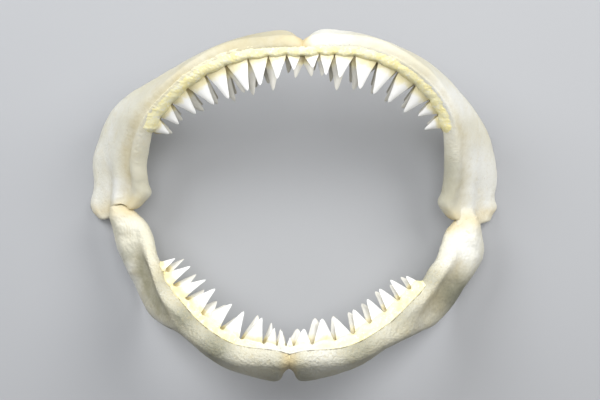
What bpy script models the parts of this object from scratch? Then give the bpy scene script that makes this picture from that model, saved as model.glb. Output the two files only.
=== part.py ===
"""Dried jaws of a large bull shark, lying on their back with the gape upward.

Sizes are in millimetres. X runs across the jaws, +Y from the hinge line towards the upper
jaw and +Z the way the open mouth faces. Each half jaw is a loft of upright sections: a round
tooth-bearing bar on the mouth side, tapering to a thin blade on the outer side.
"""

import math

import bmesh
import bpy
import numpy as np
from mathutils import Vector

MM = 0.001

# Arch stations from the symphysis to the joint, one row per section:
# inner edge x, y, z; outer edge x, y, z; bar radius; half thickness of the outer rim.
UPPER_ARCH = (
    (1.5, 148.5, 146.0, 1.5, 166.0, 126.0, 8.5, 3.6),
    (20.0, 150.0, 145.0, 23.0, 175.0, 120.0, 9.0, 3.6),
    (62.5, 145.5, 136.0, 77.5, 164.5, 107.0, 10.0, 3.4),
    (103.5, 126.5, 117.0, 137.5, 138.5, 71.0, 11.0, 3.2),
    (134.5, 95.5, 92.0, 187.5, 100.5, 24.0, 11.0, 3.0),
    (146.5, 58.0, 68.0, 207.0, 54.0, 1.0, 10.5, 3.2),
    (146.0, 30.0, 55.0, 204.5, 24.0, 1.0, 10.0, 3.6),
    (142.5, 16.5, 50.0, 207.0, 6.0, 2.0, 9.5, 3.8),
    (156.0, 3.0, 44.0, 199.0, -8.5, 9.0, 8.0, 4.2),
)
LOWER_ARCH = (
    (3.4, -122.7, 142.0, 3.4, -150.5, 106.0, 9.5, 3.8),
    (18.0, -122.0, 141.0, 20.5, -162.0, 98.0, 10.0, 3.8),
    (53.5, -116.5, 130.0, 67.0, -149.0, 83.0, 11.0, 3.4),
    (86.5, -97.0, 112.0, 108.0, -123.5, 54.0, 11.5, 3.2),
    (115.5, -72.0, 91.0, 149.0, -106.0, 13.0, 11.5, 3.0),
    (135.0, -48.0, 70.0, 172.5, -65.5, 0.5, 10.5, 3.2),
    (144.0, -25.5, 54.0, 185.5, -34.0, 4.0, 9.5, 3.4),
    (148.5, -13.0, 47.0, 186.0, -15.0, 15.0, 8.5, 4.0),
    (159.5, -1.0, 42.0, 182.0, 0.0, 28.0, 6.5, 4.5),
)
SECTIONS = 23            # sections lofted along each half jaw
SAMPLES = 400            # places read when a length along the jaw is measured
CREST_ANGLES = (90.0, 50.0, 12.0, -16.0, -42.0, -66.0, -90.0)
LINGUAL_SHARES = (0.26, 0.52, 0.78)
LABIAL_SHARES = (0.8, 0.55, 0.3)
LINGUAL_TAPER, LABIAL_TAPER = 1.7, 1.2  # how fast the bar thins towards the rim
EDGE_THICKNESS = 0.75    # of the rim, at the very edge
PADDED_FROM, PADDED_TO = 4.0, 5.0       # stations between which the tooth line meets the bar
END_LENGTH, END_SHARE = 3.0, 0.66       # last section beyond the joint station
TOOTH_LINE_RISE = 15.0   # degrees by which the tooth line looks up from straight inward
FURROW_SHARE, FURROW_WIDTH = 0.32, 0.2
UPPER_FURROW, LOWER_FURROW = 4.6, 3.8
FURROW_RISE, FURROW_FALL = (1.6, 3.6), (6.8, 8.0)   # stations where it deepens and fades

# Gum band wrapped over the bar
GAP = 0.4
GUM_AT_TEETH = 3.6
GUM_AT_EDGE = 1.2
GUM_SECTIONS = 18
GUM_END = 1.5            # sections over which the band thins out at its end
LINGUAL_GUM = 0.8        # of the thickness at the teeth, behind them

# Teeth from the symphysis backwards: width along the jaw and height of the crown
UPPER_TEETH = (
    (15.5, 13.0), (15.7, 19.5), (18.7, 25.0), (22.0, 26.0), (20.8, 27.0),
    (21.6, 26.5), (20.8, 24.5), (16.8, 18.0), (14.8, 14.5),
)
LOWER_TEETH = (
    (8.0, 10.5), (12.3, 13.0), (22.0, 19.5), (18.7, 19.0), (20.4, 20.0),
    (19.8, 22.0), (17.3, 22.0), (15.6, 20.0), (11.4, 13.0),
)
# Share of those widths and heights on each side
UPPER_SIDES = {"right": (0.97, 1.0), "left": (1.03, 1.0)}
LOWER_SIDES = {"right": (0.96, 0.93), "left": (1.04, 1.09)}
MEDIAN_TOOTH = (5.0, 8.0)
UPPER_CUSP, LOWER_CUSP = 0.76, 0.66     # crown width three tenths of the way up, as a share
CUSP_HEIGHT = 0.3                       # of the crown, where that width is taken
TOOTH_THICKNESS = 0.24                  # of the width
TOOTH_THINNING = 0.35                   # of that thickness, lost by the tip
TOOTH_SHARE = 0.95                      # of its place along the jaw that each tooth fills
TOOTH_START = 0.3                       # first tooth from the end of the half jaw
ROOT_HEIGHT = 1.9                       # foot of each root over the cartilage
# Tooth rows: direction of the root round the bar, lean of the crown, share of full size
ROWS = ((16.0, 8.0, 1.0), (-20.0, -12.0, 0.97), (-54.0, -48.0, 0.92))

# Jaw joint: head of the lower cartilage in the socket of the upper one
HEAD_CENTRE = (171.0, -8.0, 38.0)
HEAD_RADII = (15.0, 12.0, 16.0)

# Symphysis pads between the two halves, level with the gums
UPPER_PAD_HALF, LOWER_PAD_HALF = 1.1, 3.0
PAD_SWELL = 0.4          # in the middle
PAD_BACK = 1.5           # behind the rim of the halves
PAD_SHORT = 2.5          # of their outer edge

# Hinge ligaments, set off from the centre of the joint in x and y
LIGAMENT_WIDTH, LIGAMENT_REACH, LIGAMENT_THICKNESS = 22.0, 15.0, 5.5
LIGAMENT_OFFSET = (-1.0, 4.0)
LIGAMENT_WAIST = 0.1     # of the width, lost in the middle
LIGAMENT_BOW = 7.5       # by which the ends lie lower than the middle
LIGAMENT_FOOT = 4.0      # underside from the centre of the joint
LIGAMENT_SECTIONS = 9
LIGAMENT_PROFILE = (     # place across half the width, share of the height
    (-1.0, 0.25), (-0.72, 0.86), (0.0, 1.0), (0.72, 0.86), (1.0, 0.25), (0.8, 0.0), (-0.8, 0.0),
)

# Drying warp: the toothed fronts sit slightly askew to the hinge line
UPPER_SKEW, LOWER_SKEW = 0.06, 0.03
LOWER_FLARE, UPPER_FLARE = 5.2, 5.0
UPPER_SHIFT, LOWER_SHIFT = 1.5, -1.2
SHOULDER_SHIFT, CORNER_SHIFT, CORNER_DROP = -1.5, 3.0, 3.2
LOBE_RISE, LOBE_SKEW = 2.0, 5.5
HALF_WIDTH = 200.0

CARTILAGE_COLOUR = (0.8, 0.74, 0.6, 1.0)
GUM_COLOUR = (0.86, 0.76, 0.56, 1.0)
LIGAMENT_COLOUR = (0.75, 0.62, 0.38, 1.0)
ROUGHNESS = 0.55


def smooth(low, high, value):
    t = min(max((value - low) / (high - low), 0.0), 1.0)
    return t * t * (3.0 - 2.0 * t)


def at_station(rows, place):
    """Catmull-Rom reading of the station rows at a place from 0 to len(rows) - 1."""
    i = min(int(place), len(rows) - 2)
    t = place - i
    a, b = np.array(rows[i]), np.array(rows[i + 1])
    before = np.array(rows[i - 1]) if i else 2 * a - b
    after = np.array(rows[i + 2]) if i + 2 < len(rows) else 2 * b - a
    return 0.5 * (
        2 * a + (b - before) * t + (2 * before - 5 * a + 4 * b - after) * t**2
        + (3 * a - before - 3 * b + after) * t**3
    )


class Arch:
    """One half jaw, read from its station rows."""

    def __init__(self, rows, furrow):
        self.rows, self.furrow = rows, furrow
        fine = [at_station(rows, p) for p in np.linspace(0, len(rows) - 1, SAMPLES)]
        middle = np.array([(r[0:3] + r[3:6]) / 2 for r in fine])
        inner = np.array([r[0:2] for r in fine])
        self.run = self.lengths(middle)
        self.tooth_run = self.lengths(inner)

    @staticmethod
    def lengths(points):
        steps = np.linalg.norm(np.diff(points, axis=0), axis=1)
        return np.concatenate([[0.0], np.cumsum(steps)])

    def place(self, share):
        """Station place at this share of the length of the half jaw."""
        index = np.interp(share * self.run[-1], self.run, np.arange(SAMPLES))
        return index * (len(self.rows) - 1) / (SAMPLES - 1)

    def tooth_place(self, distance):
        """Station place of a point at this distance along the tooth line."""
        index = np.interp(distance, self.tooth_run, np.arange(SAMPLES))
        return index * (len(self.rows) - 1) / (SAMPLES - 1)

    def section(self, place):
        """Frame of the section: origin, outward direction, bar centre, blade and its sizes."""
        row = at_station(self.rows, place)
        inner, outer, bar, rim = row[0:3], row[3:6], row[6], row[7]
        outward = np.array([outer[0] - inner[0], outer[1] - inner[1], 0.0])
        span = np.linalg.norm(outward)
        outward /= span
        rise = math.radians(TOOTH_LINE_RISE)
        size = bar + GUM_AT_TEETH * (1.0 - smooth(PADDED_FROM, PADDED_TO, place))
        centre = np.array([size * math.cos(rise), -size * math.sin(rise)])
        blade = np.array([span, outer[2] - inner[2]]) - centre
        length = np.linalg.norm(blade)
        blade /= length
        return inner, outward, centre, blade, length, bar, rim

    def ring(self, place, grow=0.0):
        """Closed outline of the cartilage at this place."""
        inner, outward, centre, blade, length, bar, rim = self.section(place)
        labial = np.array([-blade[1], blade[0]])
        depth = self.furrow * smooth(*FURROW_RISE, place) * (1.0 - smooth(*FURROW_FALL, place))
        points = []
        for angle in CREST_ANGLES:
            turn = math.radians(angle)
            points.append(
                centre + (bar + grow) * (labial * math.sin(turn) - blade * math.cos(turn))
            )
        for share in LINGUAL_SHARES:
            half = rim + (bar - rim) * (1.0 - share) ** LINGUAL_TAPER
            points.append(centre + blade * length * share - labial * (half + grow))
        edge = EDGE_THICKNESS * rim + grow
        points.append(centre + blade * (length + grow) - labial * edge)
        points.append(centre + blade * (length + grow) + labial * edge)
        for share in LABIAL_SHARES:
            half = rim + (bar - rim) * (1.0 - share) ** LABIAL_TAPER
            half -= depth * math.exp(-(((share - FURROW_SHARE) / FURROW_WIDTH) ** 2))
            points.append(centre + blade * length * share + labial * (half + grow))
        return [inner + outward * p[0] + np.array([0.0, 0.0, p[1]]) for p in points]

    def gum_ring(self, place, thin=0.0):
        """Closed outline of the gum band, on the bar from its front to its mouth side."""
        inner, outward, centre, blade, length, bar, rim = self.section(place)
        labial = np.array([-blade[1], blade[0]])
        thick = GUM_AT_TEETH - (GUM_AT_TEETH - GUM_AT_EDGE) * thin
        under, over = [], []
        for angle, depth in zip(CREST_ANGLES[2:], (GUM_AT_EDGE, thick, thick, thick, thick)):
            turn = math.radians(angle)
            radial = labial * math.sin(turn) - blade * math.cos(turn)
            under.append(centre + (bar + GAP) * radial)
            over.append(centre + (bar + GAP + depth) * radial)
        for share, depth in zip(LINGUAL_SHARES[:2], (LINGUAL_GUM * thick, GUM_AT_EDGE)):
            half = rim + (bar - rim) * (1.0 - share) ** LINGUAL_TAPER
            along = centre + blade * length * share
            under.append(along - labial * (half + GAP))
            over.append(along - labial * (half + GAP + depth))
        return [inner + outward * p[0] + np.array([0.0, 0.0, p[1]]) for p in over + under[::-1]]

    def cartilage(self, grow=0.0):
        """The half jaw, closed by a smaller section a little beyond the joint station."""
        rings = [self.ring(self.place(i / (SECTIONS - 1)), grow) for i in range(SECTIONS)]
        last, before = np.array(rings[-1]), np.array(rings[-2])
        step = last.mean(axis=0) - before.mean(axis=0)
        middle = last.mean(axis=0)
        step *= (END_LENGTH + grow) / np.linalg.norm(step)
        rings.append([middle + (p - middle) * END_SHARE + step for p in last])
        return loft(rings)

    def gum(self):
        last = GUM_SECTIONS - 1
        rings = [
            self.gum_ring(self.place(i / (SECTIONS - 1)), smooth(last - GUM_END, last, i))
            for i in range(GUM_SECTIONS)
        ]
        return loft(rings)

    def tooth_frame(self, distance, row):
        """Foot of a tooth, its direction along the jaw and the direction of its crown."""
        direction, lean, _ = row
        place = self.tooth_place(distance)
        inner, outward, centre, _, _, bar, _ = self.section(place)
        turn, tilt = math.radians(direction), math.radians(lean)
        radius = bar + ROOT_HEIGHT
        foot = inner + outward * (centre[0] - radius * math.cos(turn))
        foot[2] += centre[1] + radius * math.sin(turn)
        step = 0.05
        ahead = at_station(self.rows, min(place + step, len(self.rows) - 1))[0:3]
        behind = at_station(self.rows, max(place - step, 0.0))[0:3]
        along = (ahead - behind) / np.linalg.norm(ahead - behind)
        crown = -outward * math.cos(tilt) + np.array([0.0, 0.0, math.sin(tilt)])
        crown -= along * crown.dot(along)
        return foot, along, crown / np.linalg.norm(crown)


def loft(rings):
    """Closed mesh through rings of equal count, all split along the same diagonals."""
    count = len(rings[0])
    points = [p for ring in rings for p in ring]
    faces = []
    for i in range(len(rings) - 1):
        for j in range(count):
            k = (j + 1) % count
            a, b = i * count + j, i * count + k
            c, d = a + count, b + count
            faces += [(a, b, d), (a, d, c)]
    faces.append(tuple(range(count))[::-1])
    faces.append(tuple(range(len(points) - count, len(points))))
    return mesh_of(points, faces)


def mesh_of(points, faces):
    mesh = bpy.data.meshes.new("work")
    mesh.from_pydata([tuple(float(v) * MM for v in p) for p in points], [], faces)
    shape = bmesh.new()
    shape.from_mesh(mesh)
    bmesh.ops.recalc_face_normals(shape, faces=shape.faces)
    shape.to_mesh(mesh)
    shape.free()
    return mesh


def tooth(foot, along, crown, width, height, cusp):
    """Triangular crown of flattened lens section, from the foot of its root to its tip.

    A cusp share gives the blade its waist; without one the crown is a plain pyramid.
    """
    across = np.cross(along, crown)
    points = []
    levels = ((0.0, 1.0),) if cusp is None else ((0.0, 1.0), (CUSP_HEIGHT, cusp))
    for up, share in levels:
        half = width * share / 2
        deep = width * TOOTH_THICKNESS * (1.0 - TOOTH_THINNING * up) / 2
        middle = foot + crown * height * up
        points += [middle - along * half, middle - across * deep,
                   middle + along * half, middle + across * deep]
    tip, top = len(points), len(points) - 4
    points.append(foot + crown * height)
    faces = [(3, 2, 1, 0)]
    for j in range(4):
        k = (j + 1) % 4
        if top:
            faces += [(j, k, top + k), (j, top + k, top + j)]
        faces.append((top + j, top + k, tip))
    return points, faces


def joined(shapes):
    points, faces = [], []
    for more, sides in shapes:
        faces += [tuple(len(points) + i for i in side) for side in sides]
        points += more
    return mesh_of(points, faces)


def tooth_rows(arch, teeth, cusp, stretch, growth):
    shapes = []
    for row in ROWS:
        distance = TOOTH_START
        for width, height in teeth:
            place = width * stretch
            foot, along, crown = arch.tooth_frame(distance + place / 2, row)
            size = row[2]
            shapes.append(tooth(foot, along, crown, place * TOOTH_SHARE * size,
                                (height * growth + GUM_AT_TEETH - ROOT_HEIGHT) * size,
                                cusp if row is ROWS[0] else None))
            distance += place
    return joined(shapes)


def ellipsoid(centre, radii, grow=0.0):
    shape = bmesh.new()
    bmesh.ops.create_uvsphere(shape, u_segments=16, v_segments=9, radius=1.0)
    for vertex in shape.verts:
        for axis in range(3):
            vertex.co[axis] = (centre[axis] + vertex.co[axis] * (radii[axis] + grow)) * MM
    mesh = bpy.data.meshes.new("head")
    bmesh.ops.triangulate(shape, faces=shape.faces)
    shape.to_mesh(mesh)
    shape.free()
    return mesh


def combined(first, second, operation):
    """The first mesh joined to, or cut by, the second."""
    body = bpy.data.objects.new("body", first)
    tool = bpy.data.objects.new("tool", second)
    for obj in (body, tool):
        bpy.context.scene.collection.objects.link(obj)
    change = body.modifiers.new("combine", "BOOLEAN")
    change.solver, change.operation, change.object = "EXACT", operation, tool
    graph = bpy.context.evaluated_depsgraph_get()
    result = bpy.data.meshes.new_from_object(body.evaluated_get(graph))
    bpy.data.objects.remove(body)
    bpy.data.objects.remove(tool)
    return result


def largest_piece(mesh):
    """The mesh without the crumbs a cut can leave beside it."""
    shape = bmesh.new()
    shape.from_mesh(mesh)
    islands, seen = [], set()
    for first in shape.verts:
        if first in seen:
            continue
        island, waiting = [], [first]
        seen.add(first)
        while waiting:
            vertex = waiting.pop()
            island.append(vertex)
            for edge in vertex.link_edges:
                other = edge.other_vert(vertex)
                if other not in seen:
                    seen.add(other)
                    waiting.append(other)
        islands.append(island)
    islands.sort(key=len)
    for island in islands[:-1]:
        bmesh.ops.delete(shape, geom=island, context="VERTS")
    shape.to_mesh(mesh)
    shape.free()
    return mesh


def symphysis_pad(arch, half):
    """Fibrous pad between the halves, level with the bars and with the gums on them."""
    inner, outward, centre, blade, length, bar, rim = arch.section(0.0)
    labial = np.array([-blade[1], blade[0]])
    gum = (0.0, 0.0, GUM_AT_EDGE) + (GUM_AT_TEETH,) * (len(CREST_ANGLES) - 3)
    rings = []
    for x, swell in ((-half, 0.0), (0.0, PAD_SWELL), (half, 0.0)):
        ring = []
        for angle, depth in zip(CREST_ANGLES, gum):
            turn = math.radians(angle)
            radial = labial * math.sin(turn) - blade * math.cos(turn)
            ring.append(centre + (bar + depth + swell) * radial)
        ring.append(centre + blade * length * LINGUAL_SHARES[1] - labial * (rim + PAD_BACK))
        ring.append(centre + blade * (length - PAD_SHORT) - labial * rim)
        ring.append(centre + blade * (length - PAD_SHORT) + labial * rim)
        rings.append([np.array([x, inner[1] + outward[1] * p[0], inner[2] + p[1]]) for p in ring])
    return loft(rings)


def median_teeth(arch):
    inner, outward, centre, _, _, bar, _ = arch.section(0.0)
    width, height = MEDIAN_TOOTH
    shapes = []
    for direction, lean, size in ROWS:
        turn, tilt = math.radians(direction), math.radians(lean)
        radius = bar + ROOT_HEIGHT
        foot = np.array([0.0, inner[1] + outward[1] * (centre[0] - radius * math.cos(turn)),
                         inner[2] + centre[1] + radius * math.sin(turn)])
        crown = -outward * math.cos(tilt) + np.array([0.0, 0.0, math.sin(tilt)])
        crown[0] = 0.0
        shapes.append(tooth(foot, np.array([1.0, 0.0, 0.0]), crown / np.linalg.norm(crown),
                            width, (height + GUM_AT_TEETH - ROOT_HEIGHT) * size, LOWER_CUSP))
    return joined(shapes)


def strap(face):
    """Rough strap across the joint, before the cartilages are cut out of it."""
    x, y, z = HEAD_CENTRE
    x, y = x + LIGAMENT_OFFSET[0], y + LIGAMENT_OFFSET[1]
    top = z + face * (HEAD_RADII[2] + LIGAMENT_THICKNESS)
    foot = z + face * LIGAMENT_FOOT
    rings = []
    for share in np.linspace(-1.0, 1.0, LIGAMENT_SECTIONS):
        crown = top - face * LIGAMENT_BOW * share**2
        half = LIGAMENT_WIDTH * (0.5 - LIGAMENT_WAIST * (1.0 - share**2))
        rings.append([
            np.array([x + half * across, y + LIGAMENT_REACH * share, foot + (crown - foot) * height])
            for across, height in LIGAMENT_PROFILE
        ])
    return loft(rings)


def with_feet(mesh):
    """The mesh trimmed level at the floor, so that its lowest edge is a small flat."""
    shape = bmesh.new()
    shape.from_mesh(mesh)
    everything = shape.verts[:] + shape.edges[:] + shape.faces[:]
    cut = bmesh.ops.bisect_plane(
        shape, geom=everything, plane_co=(0, 0, 0), plane_no=(0, 0, -1), clear_outer=True
    )
    rim = [edge for edge in cut["geom_cut"] if isinstance(edge, bmesh.types.BMEdge)]
    bmesh.ops.contextual_create(shape, geom=rim)
    bmesh.ops.recalc_face_normals(shape, faces=shape.faces)
    shape.to_mesh(mesh)
    shape.free()
    return mesh


def mirrored(mesh):
    copy = mesh.copy()
    shape = bmesh.new()
    shape.from_mesh(copy)
    for vertex in shape.verts:
        vertex.co.x = -vertex.co.x
    bmesh.ops.reverse_faces(shape, faces=shape.faces)
    shape.to_mesh(copy)
    shape.free()
    return copy


def warped(point):
    """The point after drying: a slight skew of the fronts, a flare of the blades."""
    x, y, z = (v / MM for v in point)
    side = abs(x)
    front = smooth(10.0, 95.0, abs(y))
    lobe = (1.0 - smooth(0.0, 30.0, abs(y))) * smooth(175.0, 195.0, side)
    corner = smooth(95.0, 115.0, -y) * smooth(85.0, 115.0, side) * (1.0 - smooth(135.0, 160.0, side))
    along = y + (UPPER_SKEW if y > 0.0 else LOWER_SKEW) * x * front * (1.0 - smooth(120.0, 195.0, side))
    along += (LOBE_RISE + LOBE_SKEW * x / HALF_WIDTH) * lobe
    if x > 0.0:
        along -= CORNER_DROP * corner

    low = smooth(-10.0, 40.0, -y) * (1.0 - smooth(112.0, 145.0, -y)) * smooth(122.0, 165.0, side)
    high = (1.0 - smooth(0.0, 90.0, y)) * smooth(-30.0, 0.0, y) * smooth(60.0, 180.0, -x)
    shoulder = smooth(20.0, 60.0, y) * smooth(120.0, 170.0, side)
    middle = front * (1.0 - smooth(20.0, 120.0, side))
    across = x + LOWER_FLARE * low - UPPER_FLARE * high
    across += SHOULDER_SHIFT * shoulder + CORNER_SHIFT * corner
    across += (UPPER_SHIFT if y > 0.0 else LOWER_SHIFT) * middle
    return Vector((across, along, z)) * MM


def main():
    for obj in list(bpy.data.objects):
        bpy.data.objects.remove(obj)
    upper, lower = Arch(UPPER_ARCH, UPPER_FURROW), Arch(LOWER_ARCH, LOWER_FURROW)

    meckel = combined(lower.cartilage(), ellipsoid(HEAD_CENTRE, HEAD_RADII), "UNION")
    socket = combined(lower.cartilage(GAP), ellipsoid(HEAD_CENTRE, HEAD_RADII, GAP), "UNION")
    palate = largest_piece(combined(upper.cartilage(), socket, "DIFFERENCE"))
    right = {"palatoquadrate": palate, "meckels_cartilage": meckel}
    left = dict(right)
    for halves, side in ((right, "right"), (left, "left")):
        upper_teeth = tooth_rows(upper, UPPER_TEETH, UPPER_CUSP, *UPPER_SIDES[side])
        lower_teeth = tooth_rows(lower, LOWER_TEETH, LOWER_CUSP, *LOWER_SIDES[side])
        halves["upper_gum"] = combined(upper.gum(), upper_teeth, "UNION")
        halves["lower_gum"] = combined(lower.gum(), lower_teeth, "UNION")
    shapes = {name + "_right": mesh for name, mesh in right.items()}
    shapes |= {name + "_left": mirrored(mesh) for name, mesh in left.items()}
    shapes["upper_symphysis"] = symphysis_pad(upper, UPPER_PAD_HALF)
    shapes["lower_symphysis"] = combined(
        symphysis_pad(lower, LOWER_PAD_HALF), median_teeth(lower), "UNION"
    )
    clear_upper = upper.cartilage(GAP)
    for side, face in (("right", 1.0), ("left", -1.0)):
        cut = combined(combined(strap(face), clear_upper, "DIFFERENCE"), socket, "DIFFERENCE")
        cut = largest_piece(cut)
        shapes["hinge_ligament_" + side] = cut if side == "right" else mirrored(cut)

    for mesh in shapes.values():
        for vertex in mesh.vertices:
            vertex.co = warped(vertex.co)
        if min(vertex.co.z for vertex in mesh.vertices) < 0.0:
            with_feet(mesh)
    corners = np.array([v.co for mesh in shapes.values() for v in mesh.vertices])
    low, high = corners.min(axis=0), corners.max(axis=0)
    shift = Vector((-(low[0] + high[0]) / 2, -(low[1] + high[1]) / 2, -low[2]))
    colours = {"palatoquadrate": CARTILAGE_COLOUR, "meckels_cartilage": CARTILAGE_COLOUR,
               "upper_gum": GUM_COLOUR, "lower_gum": GUM_COLOUR}
    for name, mesh in shapes.items():
        for vertex in mesh.vertices:
            vertex.co += shift
        mesh.materials.clear()
        material = bpy.data.materials.new(name)
        material.use_nodes = True
        shader = material.node_tree.nodes["Principled BSDF"]
        kind = name.rsplit("_", 1)[0]
        shader.inputs["Base Color"].default_value = colours.get(kind, LIGAMENT_COLOUR)
        shader.inputs["Roughness"].default_value = ROUGHNESS
        mesh.materials.append(material)
        bpy.context.scene.collection.objects.link(bpy.data.objects.new(name, mesh))


main()
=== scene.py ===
import math

import bmesh
import bpy
import numpy as np
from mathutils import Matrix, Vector, noise
from mathutils.bvhtree import BVHTree


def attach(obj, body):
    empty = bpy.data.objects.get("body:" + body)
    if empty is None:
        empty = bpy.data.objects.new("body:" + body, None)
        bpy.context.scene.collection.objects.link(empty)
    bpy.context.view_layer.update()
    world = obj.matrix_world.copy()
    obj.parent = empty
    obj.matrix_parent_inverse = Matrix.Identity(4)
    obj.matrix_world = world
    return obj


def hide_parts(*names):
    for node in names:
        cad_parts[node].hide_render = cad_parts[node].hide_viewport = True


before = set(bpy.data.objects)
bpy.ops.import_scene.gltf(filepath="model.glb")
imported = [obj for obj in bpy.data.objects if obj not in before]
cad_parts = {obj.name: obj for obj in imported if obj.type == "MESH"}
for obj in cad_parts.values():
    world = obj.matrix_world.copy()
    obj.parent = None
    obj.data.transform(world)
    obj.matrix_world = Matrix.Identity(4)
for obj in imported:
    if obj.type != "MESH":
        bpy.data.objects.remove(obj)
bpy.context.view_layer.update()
mm = 0.001  # sizes below are in mm, the frame in metres


def smooth(low, high, value):
    t = np.clip((value - low) / (high - low), 0, 1)
    return t * t * (3 - 2 * t)


def hump(value, centre, width):
    return np.exp(-(((value - centre) / width) ** 2))


# the two jaws: stations run from the symphysis to the joint, in mm from the hinge line
# each row: inner edge x, y, z; outer edge x, y, z; radius of the toothed bar; half thickness of the rim
upperJaw = {
    "stations": (
        (1.5, 148.5, 146, 1.5, 166, 126, 8.5, 3.6),
        (20, 150, 145, 23, 175, 120, 9, 3.6),
        (62.5, 145.5, 136, 77.5, 164.5, 107, 10, 3.4),
        (103.5, 126.5, 117, 137.5, 138.5, 71, 11, 3.2),
        (134.5, 95.5, 92, 187.5, 100.5, 24, 11, 3),
        (146.5, 58, 68, 207, 54, 1, 10.5, 3.2),
        (146, 30, 55, 204.5, 24, 1, 10, 3.6),
        (142.5, 16.5, 50, 207, 6, 2, 9.5, 3.8),
        (151.5, 4, 44.5, 199, -8.5, 9, 8, 4.2),
    ),
    "start": -0.12,  # station where the half begins at the symphysis
    "endRadius": 5,  # its rounding there
    "cheek": ((0, 0), (8, 0)),  # station and height of the swelling of the labial face
    "grain": ((18, 0.5), (6, 0.16), (2.6, 0.06)),  # lumps: size and height in mm
    "rough": (0.4, 0.14, 0.3),  # roughness of the bar, the blade and the end at the joint
    "gumStain": 0.35,  # how far the gum has stained the face beside it
    # folds of the face: (station, place between inner and outer edge, height) and a width, in mm
    "folds": (
        (((0.9, 0.66, 0), (1.8, 0.56, -1.4), (2.8, 0.46, -3.2), (3.8, 0.4, -4.4), (5, 0.36, -4.8),
          (6.2, 0.36, -4.6), (7, 0.38, -2.6), (7.8, 0.44, -0.5)), 5.5),
        (((4.2, 0.56, 0), (5.2, 0.54, 1.2), (6.2, 0.51, 3.2), (7, 0.52, 4.6), (7.8, 0.55, 4)), 6.5),
        (((4.6, 0.72, 0), (5.6, 0.7, -1.2), (6.4, 0.68, -2.2), (7.2, 0.7, -2.6), (8, 0.72, -1)), 6),
        (((0, 0.95, 0.5), (3, 0.95, 0.8), (6, 0.95, 1), (8, 0.93, 1.2)), 3.5),
    ),
    # what differs from side to side: strength of the folds; how much painted shade darkens the hollow behind
    # the bar; fine furrows by the joint; ribs across the bar (first and last station, share of the width,
    # strength); where the gum ends, and where it starts on the labial side (station, angle round the bar);
    # lighter places, a paler tone that also holds painted highlights; warmer places; and places of painted
    # shade (station, share of the width, size in mm, strength)
    "left": {
        "foldStrength": 1, "hollowShade": 0, "striae": 0, "ribs": (4.4, 6.5, 0.25, 0.2), "gumEnd": 4.36,
        "gumStart": ((0, 18), (1, 18), (2, 24), (3, 30), (3.6, 32), (4.3, 34)),
        "pale": ((6.4, 0.53, 12, 1.5), (7, 0.9, 18, 0.7), (3.9, 0.95, 22, 0.6), (5, 0.8, 26, 0.7)),
        "warm": ((0.6, 0.5, 26, 1), (1.8, 0.45, 24, 1), (2.8, 0.6, 20, 0.4), (3.2, 0.2, 20, 0.4),
                 (7.6, 0.2, 9, 0.8)),
        "paintedShade": ((1.5, 0.5, 34, 0.36), (6.4, 0.06, 12, 0.35)),
    },
    "right": {
        "foldStrength": 0.55, "hollowShade": 0, "striae": 0, "ribs": (4.3, 7.2, 0.22, 0.45), "gumEnd": 4.42,
        "gumStart": ((0, 18), (1, 16), (2, 18), (3, 20), (4, 28), (4.6, 34)),
        "pale": ((0.9, 0.65, 24, 1.1), (2, 0.5, 20, 0.3), (3.6, 0.5, 26, 1.2), (5, 0.7, 28, 1.2),
                 (6.6, 0.7, 22, 1)),
        "warm": ((0, 0.5, 8, 0.8), (6, 0.05, 14, 0.4), (7.8, 0.2, 8, 0.6)),
        "paintedShade": ((5.4, 0.08, 16, 0.6), (6.4, 0.06, 14, 0.5)),
    },
}
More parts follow.
